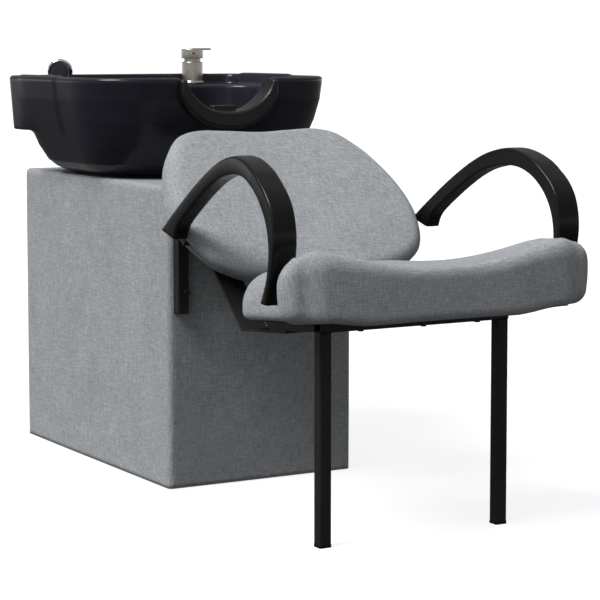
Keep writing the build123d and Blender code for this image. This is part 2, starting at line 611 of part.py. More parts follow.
def seat_face(inset=0.0):
    """Plan of the seat: a wide front with lobes ahead of the armrest feet, rounded rear."""
    y = [v - LY for v in (SEAT_Y0 + inset, -633, -615 - inset, -310 - inset)]
    hx = 295 - inset
    sx = 250 - inset
    with BuildSketch() as sk:
        with Locations((0, (y[0] + y[2]) / 2)):
            Rectangle(2 * hx, y[2] - y[0])
        fillet(sk.vertices(), min(20, (y[2] - y[0]) / 2 - 1))
        with Locations((0, (y[0] + 10 + y[3]) / 2)):
            Rectangle(2 * sx, y[3] - y[0] - 10)
        fillet(sk.vertices().group_by(Axis.Y)[-1], 122)
    return sk.sketch


BOARD = 12.0
with BuildPart() as seat_board:
    with BuildSketch(seat_plane):
        add(seat_face(9))
    extrude(amount=BOARD)
with BuildPart() as seat_pad:
    with BuildSketch(seat_plane):
        add(seat_face())
    extrude(amount=150)
    # saddle-shaped top: higher at both sides
    with BuildSketch(Plane(origin=seat_plane.origin, x_dir=(1, 0, 0), z_dir=(0, -C5, S5)).offset(-300)):
        with BuildLine():
            top = Spline((-310, 116), (-250, 108), (-150, 92), (0, 80), (150, 92), (250, 108), (310, 116))
            Polyline(top @ 1, (310, 200), (-310, 200), top @ 0)
        make_face()
    extrude(amount=600, mode=Mode.SUBTRACT)
    add(seat_board.part, mode=Mode.SUBTRACT)

# ---------------------------------------------------------------- armrests
ARM_OUTER = [(-151, 504), (-190, 530), (-243, 564), (-289, 591), (-335, 615), (-381, 634), (-427, 645), (-460, 647),
             (-493, 641), (-528, 627), (-552, 611), (-573, 594), (-590, 572), (-599, 547), (-602, 523), (-600, 498),
             (-593, 466), (-582, 434), (-575, 414)]
ARM_REAR = [(-203, 489), (-218, 515), (-272, 551), (-313, 575), (-349, 593), (-388, 607), (-434, 615), (-470, 615)]
ARM_FRONT = [(-470, 615), (-498, 609), (-524, 597), (-546, 580), (-563, 560), (-574, 540), (-580, 519), (-582, 495),
             (-577, 462), (-567, 436), (-556, 416)]
with BuildPart() as armrest_right:
    with BuildSketch(Plane.YZ.offset(235)):
        with BuildLine():
            o = Spline(*ARM_OUTER)
            r = Spline(*ARM_REAR)
            fr = Spline(*ARM_FRONT)
            Line(o @ 0, r @ 0)
            Line(fr @ 1, o @ 1)
        make_face()
    extrude(amount=85)
    # narrower and closer together at the rear than at the front
    with BuildSketch(Plane.XY.offset(300)):
        with BuildLine():
            i1 = Spline((251, -120), (251.5, -220), (254, -340), (257, -450), (ARM_IN, -530), (ARM_IN, -640))
            o1 = Spline((279, -120), (280, -220), (287, -340), (297, -450), (302, -530), (ARM_OUT, -640))
            Line(i1 @ 0, o1 @ 0)
            Line(i1 @ 1, o1 @ 1)
        make_face()
    extrude(amount=500, mode=Mode.INTERSECT)

# steel tabs inside the upholstery that take the armrest bolts
ARM_BOLT_SEAT = (-572, 440)        # y, z
ARM_BOLT_BACK = (-172, 508.5)
with BuildPart() as arm_tabs_seat:
    for side in (-1, 1):
        with BuildSketch(Plane.XZ.offset(587)):
            zt = CROSS_Z + TUBE + BOARD / C5 - T5 * (-587 - LY) + 1.2
            Polygon((side * 150, zt), (side * 243, zt), (side * 243, 458), (side * 239, 458), (side * 239, zt + 4),
                    (side * 150, zt + 4), align=None)
        extrude(amount=-30)
with BuildPart() as arm_tabs_back:
    for side in (-1, 1):
        with BuildSketch(Plane(origin=BACK_O, x_dir=(1, 0, 0), z_dir=(0, ST, CT)).offset(-254)):
            Polygon((side * 150, -PAD_R), (side * 150, -PAD_R - 4), (side * 234, -PAD_R - 4), (side * 234, -22),
                    (side * 238, -22), (side * 238, -PAD_R), align=None)
        extrude(amount=26)
bolt_pts = [(sx, y, z) for sx in (-1, 1) for y, z in (ARM_BOLT_SEAT, ARM_BOLT_BACK)]
with BuildPart() as arm_bolts:
    for sx, y, z in bolt_pts:
        with Locations(Plane((sx * 233.5, y, z), z_dir=(sx, 0, 0))):
            Cylinder(3.0, 38, align=(Align.CENTER, Align.CENTER, Align.MIN))
            Cylinder(5.5, 4, align=(Align.CENTER, Align.CENTER, Align.MAX))
with BuildPart() as bolt_space:
    for sx, y, z in bolt_pts:
        with Locations(Plane((sx * 233.5, y, z), z_dir=(sx, 0, 0))):
            Cylinder(3.05, 60, align=(Align.CENTER, Align.CENTER, Align.MIN))
            Cylinder(6.5, 8, align=(Align.CENTER, Align.CENTER, Align.MAX))

# pockets for the tabs and bolts in the upholstery, the boards and the armrests
with BuildPart() as seat_pad_final:
    add(seat_pad.part)
    add(arm_tabs_seat.part, mode=Mode.SUBTRACT)
    add(bolt_space.part, mode=Mode.SUBTRACT)
finish(seat_pad_final, "seat_pad")
with BuildPart() as backrest_pad_final:
    add(backrest_pad.part)
    add(arm_tabs_back.part, mode=Mode.SUBTRACT)
    add(bolt_space.part, mode=Mode.SUBTRACT)
finish(backrest_pad_final, "backrest_pad")
with BuildPart() as arm_tabs:
    add(arm_tabs_seat.part)
    add(arm_tabs_back.part)
    add(bolt_space.part, mode=Mode.SUBTRACT)
finish(arm_tabs, "arm_tabs")
with BuildPart() as arm_r:
    add(armrest_right.part)
    add(bolt_space.part, mode=Mode.SUBTRACT)
finish(arm_r, "armrest_right")
with BuildPart() as arm_l:
    mirror(arm_r.part, about=Plane.YZ)
finish(arm_l, "armrest_left")
finish(arm_bolts, "arm_bolts")

# round-head screws: up through the cross tube and rear tube into the seat board, and
# through the straps into the board of the backrest
SCREWS = [(Plane((x, LY, CROSS_Z), z_dir=(0, 0, 1)), 31.0) for x in (-104, 20, 130)]
SCREWS += [(Plane((x, REAR_TUBE_Y, under(REAR_TUBE_Y)), z_dir=(0, S5, C5)), 30.0) for x in (-104, 0, 104)]
SCREWS += [(Plane((sx * (LX - 11), *bk(v, SHELL_R - STRAP_T)), z_dir=(0, -CT, ST)), 17.0)
           for sx in (-1, 1) for v in (150, 215, 300, 345)]
with BuildPart() as frame_screws:
    for pl, length in SCREWS:
        with Locations(pl):
            Cylinder(5, 2.5, align=(Align.CENTER, Align.CENTER, Align.MAX))
            Cylinder(2.0, length, align=(Align.CENTER, Align.CENTER, Align.MIN))
finish(frame_screws, "frame_screws")
with BuildPart() as screw_space:
    for pl, length in SCREWS:
        with Locations(pl):
            Cylinder(2.0, length, align=(Align.CENTER, Align.CENTER, Align.MIN))
for piece, name in ((seat_cross_tube, "seat_cross_tube"), (seat_rear_tube, "seat_rear_tube"),
                    (seat_board, "seat_board"), (backrest_shell, "backrest_shell"),
                    (straps[0], "back_strap_left"), (straps[1], "back_strap_right")):
    with BuildPart() as drilled:
        add(piece.part)
        add(screw_space.part, mode=Mode.SUBTRACT)
    finish(drilled, name)
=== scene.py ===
import json
import math
import bpy
import numpy as np
from mathutils import Matrix, Vector


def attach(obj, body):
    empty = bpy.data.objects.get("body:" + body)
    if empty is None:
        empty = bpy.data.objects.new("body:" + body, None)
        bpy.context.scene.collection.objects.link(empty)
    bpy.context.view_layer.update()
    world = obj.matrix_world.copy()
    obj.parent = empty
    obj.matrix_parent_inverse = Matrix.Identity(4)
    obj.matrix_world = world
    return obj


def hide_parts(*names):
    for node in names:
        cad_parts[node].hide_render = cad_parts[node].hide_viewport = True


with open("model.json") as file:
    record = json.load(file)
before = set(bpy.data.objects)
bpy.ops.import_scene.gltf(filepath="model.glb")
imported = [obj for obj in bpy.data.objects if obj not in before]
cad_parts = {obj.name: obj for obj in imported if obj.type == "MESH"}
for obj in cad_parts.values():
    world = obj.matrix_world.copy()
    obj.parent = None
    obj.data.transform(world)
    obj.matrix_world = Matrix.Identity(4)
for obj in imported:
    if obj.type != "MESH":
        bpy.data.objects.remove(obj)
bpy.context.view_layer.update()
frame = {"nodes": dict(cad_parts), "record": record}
NODES = frame["nodes"]

# ------------------------------------------------------------------ geometry tools
# Shapes are written as distance-like fields in millimetres.


def rbox(x, y, hx, y0, y1, rf, rb, p=2.0):
    """Rectangle with its own front (low y) and back corner radii."""
    yy = y - (y0 + y1) / 2
    r = np.where(yy < 0, rf, rb)
    qx, qy = np.abs(x) - hx + r, np.abs(yy) - (y1 - y0) / 2 + r
    return (np.minimum(np.maximum(qx, qy), 0)
            + (np.maximum(qx, 0) ** p + np.maximum(qy, 0) ** p + 1e-9) ** (1 / p) - r)


def rint(a, b, r):
    """Rounded intersection."""
    return np.minimum(np.maximum(a, b), -r) + np.hypot(np.maximum(a + r, 0), np.maximum(b + r, 0))


def runi(a, b, r):
    """Rounded union."""
    return np.maximum(np.minimum(a, b), r) - np.hypot(np.maximum(r - a, 0), np.maximum(r - b, 0))


def sstep(t):
    t = np.clip(t, 0, 1)
    return t * t * (3 - 2 * t)


def catmull(pts, n, closed=False):
    """Smooth curve through points, n samples in each span."""
    p = np.array(pts, float)
    m = len(p)
    out = []
    for i in range(m if closed else m - 1):
        a, b, c, d = (p[(i + k) % m] if closed else p[min(max(i + k, 0), m - 1)] for k in (-1, 0, 1, 2))
        for j in range(n):
            t = j / n
            out.append(0.5 * (2 * b + (c - a) * t + (2 * a - 5 * b + 4 * c - d) * t * t
                              + (3 * b - a - 3 * c + d) * t ** 3))
    if not closed:
        out.append(p[-1])
    return np.array(out)


def poly_sdf(px, py, poly):
    d = np.full(np.shape(px), 1e18)
    s = np.zeros(np.shape(px), bool)
    for (x0, y0), (x1, y1) in zip(poly, np.roll(poly, -1, 0)):
        ex, ey = x1 - x0, y1 - y0
        wx, wy = px - x0, py - y0
        t = np.clip((wx * ex + wy * ey) / (ex * ex + ey * ey + 1e-12), 0, 1)
        d = np.minimum(d, (wx - ex * t) ** 2 + (wy - ey * t) ** 2)
        if abs(ey) > 1e-9:
            s ^= ((y0 <= py) != (y1 <= py)) & (px < ex * (py - y0) / ey + x0)
    return np.where(s, -1, 1) * np.sqrt(d)


def outline_field(poly, pad=40, h=1.5):
    """Distance to a closed outline, read from a fine table."""
    lo, hi = poly.min(0) - pad, poly.max(0) + pad
    xs, ys = np.arange(lo[0], hi[0], h), np.arange(lo[1], hi[1], h)
    tab = poly_sdf(*np.meshgrid(xs, ys, indexing="ij"), poly)

    def f(x, y):
        u = np.clip((x - lo[0]) / h, 0, len(xs) - 1.001)
        v = np.clip((y - lo[1]) / h, 0, len(ys) - 1.001)
        i, j = u.astype(int), v.astype(int)
        a, b = u - i, v - j
        return ((tab[i, j] * (1 - a) + tab[i + 1, j] * a) * (1 - b)
                + (tab[i, j + 1] * (1 - a) + tab[i + 1, j + 1] * a) * b)
    return f


def nets(f, lo, hi, h, relax=3):
    """Quad mesh of the field's zero surface, relaxed and put back on the surface."""
    n = [int(math.ceil((b - a) / h)) + 1 for a, b in zip(lo, hi)]
    ax = [lo[i] + h * np.arange(n[i]) for i in range(3)]
    F = np.stack([f(*np.meshgrid([x], ax[1], ax[2], indexing="ij"))[0] for x in ax[0]])
    S = F < 0
    sl = [(slice(0, -1), slice(1, None))[k] for k in (0, 1)]
    cnt = sum(S[sl[a], sl[b], sl[c]].astype(int) for a in (0, 1) for b in (0, 1) for c in (0, 1))
    act = (cnt > 0) & (cnt < 8)
    P = np.zeros(act.shape + (3,))
    W = np.zeros(act.shape)
    for k in range(3):
        o = [i for i in range(3) if i != k]
        for a in (0, 1):
            for b in (0, 1):
                c0 = [0, 0, 0]
                c0[o[0]], c0[o[1]] = a, b
                c1 = list(c0)
                c1[k] = 1
                A, B = F[tuple(sl[i] for i in c0)], F[tuple(sl[i] for i in c1)]
                x = (A < 0) != (B < 0)
                t = np.where(x, A / np.where(x, A - B, 1), 0)
                for i in range(3):
                    P[..., i] += np.where(x, t if i == k else c0[i], 0)
                W += x
    ids = -np.ones(act.shape, int)
    ids[act] = np.arange(act.sum())
    cell = np.argwhere(act)
    V = (cell + P[act] / W[act][:, None]) * h + np.array(lo)
    Q = []
    for k in range(3):
        o = [(1, 2), (2, 0), (0, 1)][k]
        s0 = [slice(None)] * 3
        s1 = [slice(None)] * 3
        s0[k], s1[k] = slice(0, -1), slice(1, None)
        A, B = S[tuple(s0)], S[tuple(s1)]
        e = np.argwhere(A != B)
        ok = (e[:, o[0]] > 0) & (e[:, o[1]] > 0) & (e[:, o[0]] < n[o[0]] - 1) & (e[:, o[1]] < n[o[1]] - 1)
        e = e[ok]
        ins = A[tuple(e.T)]
        q = []
        for du, dv in ((-1, -1), (0, -1), (0, 0), (-1, 0)):
            c = e.copy()
            c[:, o[0]] += du
            c[:, o[1]] += dv
            q.append(ids[tuple(c.T)])
        q = np.stack(q, 1)
        q[~ins] = q[~ins][:, ::-1]
        Q.append(q)
    Q = np.concatenate(Q)
    E = np.unique(np.sort(np.concatenate([Q[:, [i, (i + 1) % 4]] for i in range(4)]), 1), axis=0)
    deg = np.bincount(E.ravel(), minlength=len(V))[:, None]
    V = onto(V, f, h)
    for _ in range(relax):
        M = np.zeros_like(V)
        for i in range(3):
            M[:, i] = (np.bincount(E[:, 0], V[E[:, 1], i], len(V)) + np.bincount(E[:, 1], V[E[:, 0], i], len(V)))
        V = onto(V * 0.4 + 0.6 * M / deg, f, h)
    return V, Q


def onto(V, f, h, it=3, eps=0.4):
    for _ in range(it):
        d = f(*V.T)
        g = np.stack([(f(*(V + eps * u).T) - f(*(V - eps * u).T)) / (2 * eps) for u in np.eye(3)], 1)
        st = np.clip(d / np.maximum((g ** 2).sum(1), 0.1), -h, h)
        V = V - g * st[:, None]
    return V


def piece(name, V, faces, mat, body="unit", replaces=(), matrix=None, flat=False):
    """A mesh object from millimetre vertices that rides on a body."""
    m = bpy.data.meshes.new(name)
    V = np.asarray(V, float) * 0.001
    m.from_pydata([tuple(v) for v in V], [], [tuple(int(i) for i in q) for q in faces])
    m.validate()
    m.polygons.foreach_set("use_smooth", np.full(len(m.polygons), not flat))
    m.materials.append(mat)
    o = bpy.data.objects.new(name, m)
    bpy.context.scene.collection.objects.link(o)
    if matrix is not None:
        o.matrix_world = matrix
    m.update()
    if body:
        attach(o, body)
    if replaces:
        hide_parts(*replaces)
    return o


def lathe(profile, centre, seg=96, axis=None):
    """Turned form from (radius, height) corners, both ends closed."""
    prof = np.array(profile, float)
    a = np.linspace(0, 2 * np.pi, seg, endpoint=False)
    V = np.concatenate([np.stack([r * np.cos(a), r * np.sin(a), np.full(seg, z)], 1) for r, z in prof])
    F = []
    for i in range(len(prof) - 1):
        for j in range(seg):
            k = (j + 1) % seg
            F.append((i * seg + j, i * seg + k, (i + 1) * seg + k, (i + 1) * seg + j))
    F.append(tuple(range(seg))[::-1])
    F.append(tuple((len(prof) - 1) * seg + j for j in range(seg)))
    if axis is not None:
        R = np.array(Vector((0, 0, 1)).rotation_difference(Vector(axis)).to_matrix())
        V = V @ R.T
    return V + np.array(centre, float), F


def soften(profile, r=0.8):
    """Rounds each corner of a turned profile."""
    p = [np.array(q, float) for q in profile]
    out = [p[0]]
    for a, b, c in zip(p, p[1:], p[2:]):
        la, lc = np.linalg.norm(a - b), np.linalg.norm(c - b)
        k = min(r, la * 0.45, lc * 0.45)
        s, e = b + (a - b) / la * k, b + (c - b) / lc * k
        for t in (0, 0.25, 0.5, 0.75, 1):
            out.append((1 - t) ** 2 * s + 2 * t * (1 - t) * b + t * t * e)
    out.append(p[-1])
    return out


# ------------------------------------------------------------------ materials
def material(name):
    m = bpy.data.materials.new(name)
    m.use_nodes = True
    nt = m.node_tree
    return m, nt, nt.nodes["Principled BSDF"]


def noise(nt, scale, rot=(0, 0, 0), detail=3.0, rough=0.55, base=1.0, coords="Object"):
    tc = nt.nodes.new("ShaderNodeTexCoord")
    mp = nt.nodes.new("ShaderNodeMapping")
    mp.inputs["Scale"].default_value = scale
    mp.inputs["Rotation"].default_value = rot
    nz = nt.nodes.new("ShaderNodeTexNoise")
    nz.inputs["Scale"].default_value = base
    nz.inputs["Detail"].default_value = detail
    nz.inputs["Roughness"].default_value = rough
    nt.links.new(tc.outputs[coords], mp.inputs["Vector"])
    nt.links.new(mp.outputs[0], nz.inputs["Vector"])
    return nz.outputs["Fac"]


def mth(nt, op, a, b=None, c=None):
    n = nt.nodes.new("ShaderNodeMath")
    n.operation = op
    for i, v in enumerate((a, b, c)):
        if v is None:
            continue
        if isinstance(v, (int, float)):
            n.inputs[i].default_value = v
        else:
            nt.links.new(v, n.inputs[i])
    return n.outputs[0]


def ramp(nt, fac, stops):
    n = nt.nodes.new("ShaderNodeValToRGB")
    el = n.color_ramp.elements
    while len(el) < len(stops):
        el.new(0.5)
    for e, (p, c) in zip(el, stops):
        e.position = p
        e.color = (*c, 1)
    nt.links.new(fac, n.inputs[0])
    return n.outputs[0]


def bump(nt, bsdf, height, strength, dist):
    n = nt.nodes.new("ShaderNodeBump")
    n.inputs["Strength"].default_value = strength
    n.inputs["Distance"].default_value = dist
    nt.links.new(height, n.inputs["Height"])
    nt.links.new(n.outputs[0], bsdf.inputs["Normal"])


def linen(name, dark, mid, light):
    """Crossed-weave cloth: slubby threads along three axes and a fine thread relief."""
    m, nt, b = material(name)
    a, c = 640.0, 50.0
    sx = noise(nt, (c, a, a), detail=3.0, rough=0.65)
    sy = noise(nt, (a, c, a), detail=3.0, rough=0.65)
    sz = noise(nt, (a, a, c), detail=3.0, rough=0.65)
    fa, fc = 1500.0, 150.0
    fx = noise(nt, (fc, fa, fa), detail=1.0)
    fy = noise(nt, (fa, fc, fa), detail=1.0)
    fz = noise(nt, (fa, fa, fc), detail=1.0)
    cl = noise(nt, (11, 11, 11), detail=3.0)
    s = mth(nt, "ADD", mth(nt, "ADD", sx, sy), sz)
    t = mth(nt, "ADD", mth(nt, "ADD", fx, fy), fz)
    s = mth(nt, "MULTIPLY_ADD", s, 0.24, mth(nt, "MULTIPLY_ADD", t, 0.06, mth(nt, "MULTIPLY", cl, 0.06)))
    col = ramp(nt, s, [(0.40, dark), (0.482, mid), (0.565, light)])
    nt.links.new(col, b.inputs["Base Color"])
    b.inputs["Roughness"].default_value = 0.95
    b.inputs["Sheen Weight"].default_value = 0.12
    b.inputs["Sheen Roughness"].default_value = 0.5
    b.inputs["Specular IOR Level"].default_value = 0.12
    bump(nt, b, mth(nt, "ADD", t, mth(nt, "MULTIPLY", s, 5.0)), 0.4, 0.0005)
    return m


def surface(name, col, rough, metal=0.0, grain=120.0, var=0.12, bmp=0.1, dist=0.0002, coat=0.0, spec=0.5,
            stretch=(1, 1, 1), rvar=0.1):
    """Paint, plastic, rubber or metal with grain, uneven gloss and light wear."""
    m, nt, b = material(name)
    n1 = noise(nt, tuple(grain * s for s in stretch), detail=5.0)
    n2 = noise(nt, (9, 9, 9), detail=3.0)
    mix = mth(nt, "MULTIPLY_ADD", n1, 0.6, mth(nt, "MULTIPLY", n2, 0.4))
    lo = tuple(c * (1 - var) for c in col)
    hi = tuple(min(1, c * (1 + var)) for c in col)
    nt.links.new(ramp(nt, mix, [(0.35, lo), (0.65, hi)]), b.inputs["Base Color"])
    r = mth(nt, "MULTIPLY_ADD", mix, rvar, rough - rvar / 2)
    nt.links.new(r, b.inputs["Roughness"])
    b.inputs["Metallic"].default_value = metal
    b.inputs["Specular IOR Level"].default_value = spec
    if coat:
        b.inputs["Coat Weight"].default_value = coat
        b.inputs["Coat Roughness"].default_value = 0.08
    bump(nt, b, n1, bmp, dist)
    return m


def wood(name):
    m, nt, b = material(name)
    n = noise(nt, (160, 160, 160), detail=6.0)
    nt.links.new(ramp(nt, n, [(0.3, (0.33, 0.22, 0.12)), (0.5, (0.50, 0.36, 0.22)), (0.7, (0.66, 0.50, 0.32))]),
                 b.inputs["Base Color"])
    b.inputs["Roughness"].default_value = 0.85
    bump(nt, b, n, 0.3, 0.0005)
    return m


M = {
    "linen": linen("linen_cloth", (0.165, 0.175, 0.184), (0.262, 0.274, 0.286), (0.395, 0.410, 0.424)),
    "board": wood("particle_board"),
    "basin_gloss": surface("basin_gloss", (0.0125, 0.0115, 0.019), 0.24, grain=5, var=0.3, bmp=0.04, dist=0.002,
                           rvar=0.14, spec=0.30),
    "rubber": surface("rubber", (0.006, 0.006, 0.0065), 0.34, grain=400, bmp=0.12, var=0.2, spec=0.3),
    "black_steel": surface("black_powder_coat", (0.009, 0.009, 0.0095), 0.42, grain=900, bmp=0.2, var=0.25, spec=0.25),
    "black_plastic": surface("satin_black", (0.0045, 0.0043, 0.0042), 0.27, grain=500, bmp=0.08, var=0.25, spec=0.22),
    "white_plastic": surface("white_plastic", (0.72, 0.72, 0.70), 0.4, var=0.05),
    "zinc_steel": surface("zinc_plate", (0.55, 0.55, 0.54), 0.35, metal=1.0, grain=300, var=0.15),
    "nickel": surface("brushed_nickel", (0.50, 0.475, 0.44), 0.30, metal=1.0, grain=60, stretch=(1, 1, 40), var=0.12,
                      bmp=0.12),
    "chrome": surface("chrome", (0.72, 0.72, 0.74), 0.10, metal=1.0, grain=30, var=0.06, bmp=0.03, rvar=0.06),
    "brass": surface("brass", (0.55, 0.40, 0.16), 0.35, metal=1.0, grain=80, var=0.15),
    "ceramic_plastic": surface("ceramic_plastic", (0.75, 0.74, 0.70), 0.45, var=0.06),
    "red_mark": surface("red_mark", (0.30, 0.012, 0.012), 0.35, var=0.2),
}
DARK = surface("recess_black", (0.004, 0.004, 0.004), 0.7, var=0.2)
SPRAY = surface("spray_plate", (0.23, 0.24, 0.27), 0.28, metal=0.6, grain=300, var=0.2, bmp=0.1)
DUST = surface("dust_cover_black", (0.012, 0.012, 0.013), 0.95, grain=700, bmp=0.5, dist=0.0004, var=0.4)
THREAD = surface("grey_thread", (0.20, 0.21, 0.22), 0.8, grain=1500, bmp=0.5, dist=0.0003)

slot_of = {s["node"]: s["material_slot"] for s in frame["record"]["subparts"]}
M["zinc_black"] = surface("blackened_steel", (0.02, 0.02, 0.021), 0.4, metal=0.6, grain=400, var=0.3)
for name, node in NODES.items():
    node.data.materials.clear()
    node.data.materials.append(M["zinc_black" if slot_of[name] == "zinc_steel" else slot_of[name]])

# ------------------------------------------------------------------ cabinet cover
rng = np.random.RandomState(7)
WAVES = [(rng.uniform(-1, 1, 3) * 0.02, rng.uniform(0, 6.3), rng.uniform(0.12, 0.3)) for _ in range(10)]


def soft_noise(x, y, z):
    """Slow unevenness of cloth over padding, about half a millimetre."""
    return sum(a * np.sin(k[0] * x + k[1] * y + k[2] * z + p) for k, p, a in WAVES)


def cover_field(x, y, z):
    plan = rbox(x, y, 197.4, -15.8, 700, 8, 3)
    f = rint(plan, z - 568.2, 8)
    return f + 0.6 * soft_noise(x, y, z)


V, Q = nets(lambda x, y, z: np.maximum(cover_field(x, y, z), -100), (-205, -24, -6.5), (205, 663, 576), 7.0, relax=2)
keep = [q for q in Q if V[q][:, 1].max() < 655.5 and V[q][:, 2].min() > 3.0]
V[:, 1] = np.where(V[:, 1] > 652, 654.6, V[:, 1])
V[:, 2] = np.where(V[:, 2] < 7, np.maximum(V[:, 2] - 3.0, 2.4), V[:, 2])
used = np.unique(np.array(keep))
remap = -np.ones(len(V), int)
remap[used] = np.arange(len(used))
cover = piece("cover", V[used], remap[np.array(keep)], M["linen"], replaces=("cabinet_cover",))
mod = cover.modifiers.new("shell", "SOLIDIFY")
mod.thickness = 0.0034
mod.offset = -1


# ------------------------------------------------------------------ seat
LY, CROSS = -543.0, 381.0
T5 = math.tan(math.radians(5))


def seat_plane(y):
    return CROSS - T5 * (y - LY)


def seat_field(x, y, z, grow=0.0):
    ax = np.abs(x)
    # the front face bows back towards its corners and the lobes bulge at half height
    bow = 16 * np.clip((ax - 120) / 175, 0, 1) ** 1.7
    a = rbox(x, y, 302 - 3.5 * ((z - 446) / 40) ** 2, -656 + bow, -602, 21, 13)
    b = rbox(x, y, 254, -648, -315, 24, 125)
    # sides pull in a little between the corners
    d = runi(a, b, 24) + 2.0 * np.exp(-((y + 480) / 60) ** 2) * (ax > 150)
    w = sstep(ax / 262) ** 1.6
    hs = np.interp(y, [-655, -640, -600, -570, -500, -450, -400, -330], [106, 112, 119, 115, 97, 83, 74, 64])
    hc = np.interp(y, [-655, -500, -330], [79, 80, 86])
    top = seat_plane(y) + hc + (hs - hc) * w
    drop = 9 * sstep((-y - 568) / 34) * sstep((235 - ax) / 90)
    # a crisp front top edge, much softer sides and rear
    r = 20 + 22 * sstep((y + 640) / 30) + 14 * sstep((ax - 215) / 60)
    f = rint(d, (z - top) * 0.96, r)
    f = rint(f, seat_plane(y) - 1.5 - drop - z, 13 + 9 * sstep((ax - 235) / 40))
    return f + 0.7 * soft_noise(x * 1.3, y * 1.3, z * 1.3) + grow


V, Q = nets(seat_field, (-306, -666, 350), (306, -300, 520), 5.5)
seat = piece("seat_cushion", V, Q, M["linen"], replaces=("seat_pad",))


def lining_field(x, y, z):
    """Black cloth stapled over the board under the seat."""
    ax = np.abs(x)
    a = rbox(x, y, 262, -634, -606, 12, 10)
    b = rbox(x, y, 236, -630, -328, 18, 112)
    d = runi(a, b, 20)
    drop = 9 * sstep((-y - 568) / 34) * sstep((235 - ax) / 90)
    f = rint(d, z - seat_plane(y) - 4, 1.5)
    return rint(f, seat_plane(y) - 3.6 - drop - z, 2)


V, Q = nets(lining_field, (-272, -644, 356), (272, -318, 404), 5.0)
lining = piece("seat_lining", V, Q, DUST, replaces=("seat_board",))

# ------------------------------------------------------------------ backrest
TILT = math.radians(49)
CT, ST = math.cos(TILT), math.sin(TILT)
# local x right, local y up the slope, local z towards the sitter
BACK = Matrix.Translation((0, 0.020, 0.655)) @ Matrix(((1, 0, 0, 0), (0, ST, -CT, 0), (0, CT, ST, 0), (0, 0, 0, 1)))
BACK_HALF = [(0, 6), (60, 1), (120, -4), (160, 5), (183, 24), (209, 62), (226, 100), (239, 140), (246, 176),
             (248.5, 205), (247, 238), (241, 268), (230, 300), (212, 328), (180, 352), (140, 370), (70, 384), (0, 388)]
ring = [(x, -v) for x, v in BACK_HALF] + [(-x, -v) for x, v in BACK_HALF[-2:0:-1]]
back_outline = outline_field(catmull(ring, 5, closed=True))


def back_field(x, y, z):
    top = 37.5 - 7 * (x / 248) ** 2 - 7 * ((y + 192) / 196) ** 2
    d = back_outline(x, y) + 0.6
    f = rint(d, z - top, 25)
    # the lower edge rolls back towards the groove
    f = rint(f, -21.8 - z, 13 + 26 * sstep((-y - 150) / 130))
    return f + 0.7 * soft_noise(x * 1.2, y * 1.2, z)


def rear_field(x, y, z):
    d = back_outline(x, y) + 9 + 21 * sstep((-y - 170) / 140)
    f = rint(d, z + 22.4, 7)
    f = rint(f, -37.9 - z, 8)
    return f + 0.35 * soft_noise(x * 1.2, y * 1.2, z)


H = 5.0
V, Q = nets(back_field, (-262, -402, -32), (262, 16, 48), H)
backrest = piece("backrest_cushion", V, Q, M["linen"], replaces=("backrest_pad",), matrix=BACK)
V, Q = nets(rear_field, (-262, -402, -46), (262, 16, -14), 4.0)
rear = piece("backrest_rear_panel", V, Q, M["linen"], replaces=("backrest_shell",), matrix=BACK)

# ------------------------------------------------------------------ basin
def zlerp(z, zs, vs):
    return np.interp(z, zs, vs)


BZ = [560, 566, 572, 583, 596, 625, 655, 680, 720, 765]
notch = catmull([(-118, 800), (-106, 772), (-84, 738), (-52, 701), (0, 690), (52, 701), (84, 738), (106, 772),
                 (118, 800)], 8)
notch_field = outline_field(notch, pad=60)


def basin_field(x, y, z):
    # one continuous wall from the rim down to the rounded belly
    hx = zlerp(z, BZ, [150, 172, 190, 208, 222, 238, 249, 257, 265, 269.5])
    bel = rbox(x, y, hx, zlerp(z, BZ, [235, 214, 195, 177, 163, 147, 136, 128, 119, 115]),
               zlerp(z, BZ, [490, 508, 522, 538, 548, 559, 566, 570, 574, 578]), 152, 100, 2.3)
    bel = rint(bel, 568 - z, 16)
    bel = rint(bel, z - 765, 8)
    # the tap deck overhangs the belly at the rear only
    t = np.clip((z - 655) / 110, 0, 1)
    dk = rbox(x, y, hx + (263 + 6.5 * t - hx) * sstep((y - 440) / 90), 330, 589 + 6 * t, 20, 44, 2.4)
    dk = rint(dk, z - 765, 8)
    dk = rint(dk, 655 - z, 4)
    f = runi(dk, bel, 9)
    BI = [578, 592, 628, 678, 744, 800]
    bowl = rbox(x, y, zlerp(z, BI, [150, 196, 220, 228, 234, 236]),
                zlerp(z, BI, [222, 178, 157, 148, 141, 139]), zlerp(z, BI, [462, 484, 492, 496, 500, 501]), 120, 92)
    bowl = rint(bowl, 578 - z, 26)
    deck = rbox(x, y, zlerp(z, [743, 765], [247, 251]), zlerp(z, [743, 765], [138, 134]),
                zlerp(z, [743, 765], [572, 576]), 108, 27)
    deck = rint(deck, 743 - z, 4)
    f = rint(f, -runi(bowl, deck, 6), 5)
    nf = np.maximum(notch_field(x, z), y - 250)
    f = rint(f, -nf, 4)
    f = np.maximum(f, -(np.hypot(x, y - 345) - 24))
    for cx, cy, r in ((140, 542, 15), (-172, 546, 16)):
        f = np.maximum(f, -np.maximum(np.hypot(x - cx, y - cy) - r, 700 - z))
    return f


V, Q = nets(basin_field, (-282, 104, 562), (282, 606, 772), 3.2)
basin = piece("basin_shell", V, Q, M["basin_gloss"], replaces=("basin",))

# neck rest
nr_o = catmull([(-106, 759), (-101, 716), (-58, 677), (0, 665), (58, 677), (101, 716), (106, 759)], 8)
nr_i = catmull([(94, 762), (80, 733), (43, 706), (0, 699), (-43, 706), (-80, 733), (-94, 762)], 8)
neck_outline = outline_field(np.concatenate([nr_o, nr_i]), pad=30, h=1.0)


